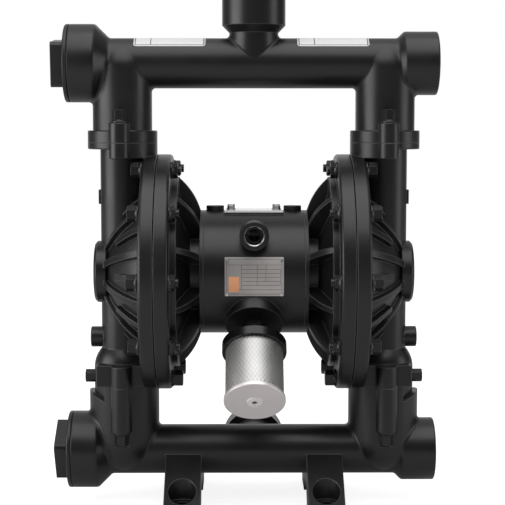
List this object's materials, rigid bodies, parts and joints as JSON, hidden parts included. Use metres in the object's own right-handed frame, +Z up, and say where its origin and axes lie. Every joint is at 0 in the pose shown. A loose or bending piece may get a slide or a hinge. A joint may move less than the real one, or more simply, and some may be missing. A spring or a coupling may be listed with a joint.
{
  "type": "air-operated double diaphragm pump",
  "caption": "Air-operated double diaphragm pump in black cast metal with ribbed chambers, pipe manifolds, air inlet and a round exhaust muffler.",
  "frame": {"origin": "centre of the four foot holes, on the floor plane", "axes": "+Z up, +X along the pump axis to the open side ports, -Y the front with the air inlet"},
  "size_m": [0.474, 0.3102, 0.637],
  "materials": {
    "black_casting": "satin black powder coat on cast aluminium",
    "black_steel": "black oxide and satin black paint",
    "bright_steel": "brushed",
    "aluminium_turned": "turned",
    "bronze": "machined bronze",
    "black_rubber": "matte moulded rubber",
    "pale_plastic": "machined plastic"
  },
  "bodies": {
    "pump_frame": {"discharge_manifold": "black_casting", "suction_manifold": "black_casting", "fluid_chamber_left": "black_casting", "fluid_chamber_right": "black_casting", "air_chamber_left": "black_casting", "air_chamber_right": "black_casting", "centre_body": "black_casting", "discharge_port_plug": "black_casting", "suction_port_plug": "black_casting", "top_plugs": "black_steel", "muffler_stem": "black_steel", "muffler_cap": "black_steel", "chamber_bolts_left": "black_steel", "chamber_bolts_right": "black_steel", "chamber_nuts_left": "black_steel", "chamber_nuts_right": "black_steel", "lower_flange_screws": "black_steel", "discharge_manifold_bolts": "black_steel", "suction_manifold_bolts": "black_steel", "drain_plugs": "black_steel", "air_chamber_screws": "black_steel", "air_valve_cover": "bright_steel", "air_valve_cover_screws": "bright_steel", "nameplate": "bright_steel", "nameplate_rivets": "bright_steel", "muffler_mesh": "bright_steel", "muffler_end_cap": "aluminium_turned", "muffler_eyelet": "aluminium_turned", "valve_sleeve": "aluminium_turned", "valve_end_caps": "aluminium_turned", "muffler_core": "aluminium_turned", "shaft_bushes": "bronze", "diaphragm_left": "black_rubber", "diaphragm_right": "black_rubber", "shaft_seals": "black_rubber", "discharge_seat_rings": "black_rubber", "suction_seat_rings": "black_rubber", "discharge_seats": "pale_plastic", "suction_seats": "pale_plastic"},
    "diaphragm_rod_group": {"diaphragm_rod": "bright_steel", "inner_plates": "aluminium_turned", "outer_plates": "aluminium_turned", "rod_nuts": "bright_steel"},
    "pilot_rod_body": {"pilot_rod": "bright_steel"},
    "valve_spool_body": {"valve_spool": "aluminium_turned"},
    "discharge_ball_left_body": {"discharge_ball_left": "black_rubber"},
    "discharge_ball_right_body": {"discharge_ball_right": "black_rubber"},
    "suction_ball_left_body": {"suction_ball_left": "black_rubber"},
    "suction_ball_right_body": {"suction_ball_right": "black_rubber"}
  },
  "joints": [
    {"name": "diaphragm_rod_slide", "type": "slide", "parent": "pump_frame", "child": "diaphragm_rod_group", "axis": [1, 0, 0], "range_m": [-0.014, 0.014], "deforming": ["diaphragm_right", "diaphragm_left"]},
    {"name": "pilot_rod_slide", "type": "slide", "parent": "pump_frame", "child": "pilot_rod_body", "axis": [1, 0, 0], "range_m": [-0.004, 0.004]},
    {"name": "valve_spool_slide", "type": "slide", "parent": "pump_frame", "child": "valve_spool_body", "axis": [1, 0, 0], "range_m": [-0.0065, 0.0065]},
    {"name": "discharge_ball_left_lift", "type": "slide", "parent": "pump_frame", "child": "discharge_ball_left_body", "axis": [0, 0, 1], "range_m": [0, 0.008]},
    {"name": "discharge_ball_right_lift", "type": "slide", "parent": "pump_frame", "child": "discharge_ball_right_body", "axis": [0, 0, 1], "range_m": [0, 0.008]},
    {"name": "suction_ball_left_lift", "type": "slide", "parent": "pump_frame", "child": "suction_ball_left_body", "axis": [0, 0, 1], "range_m": [0, 0.008]},
    {"name": "suction_ball_right_lift", "type": "slide", "parent": "pump_frame", "child": "suction_ball_right_body", "axis": [0, 0, 1], "range_m": [0, 0.008]}
  ],
  "couplings": [
    {"joint": "pilot_rod_slide", "follows": "diaphragm_rod_slide", "ratio": 0.2857}
  ]
}
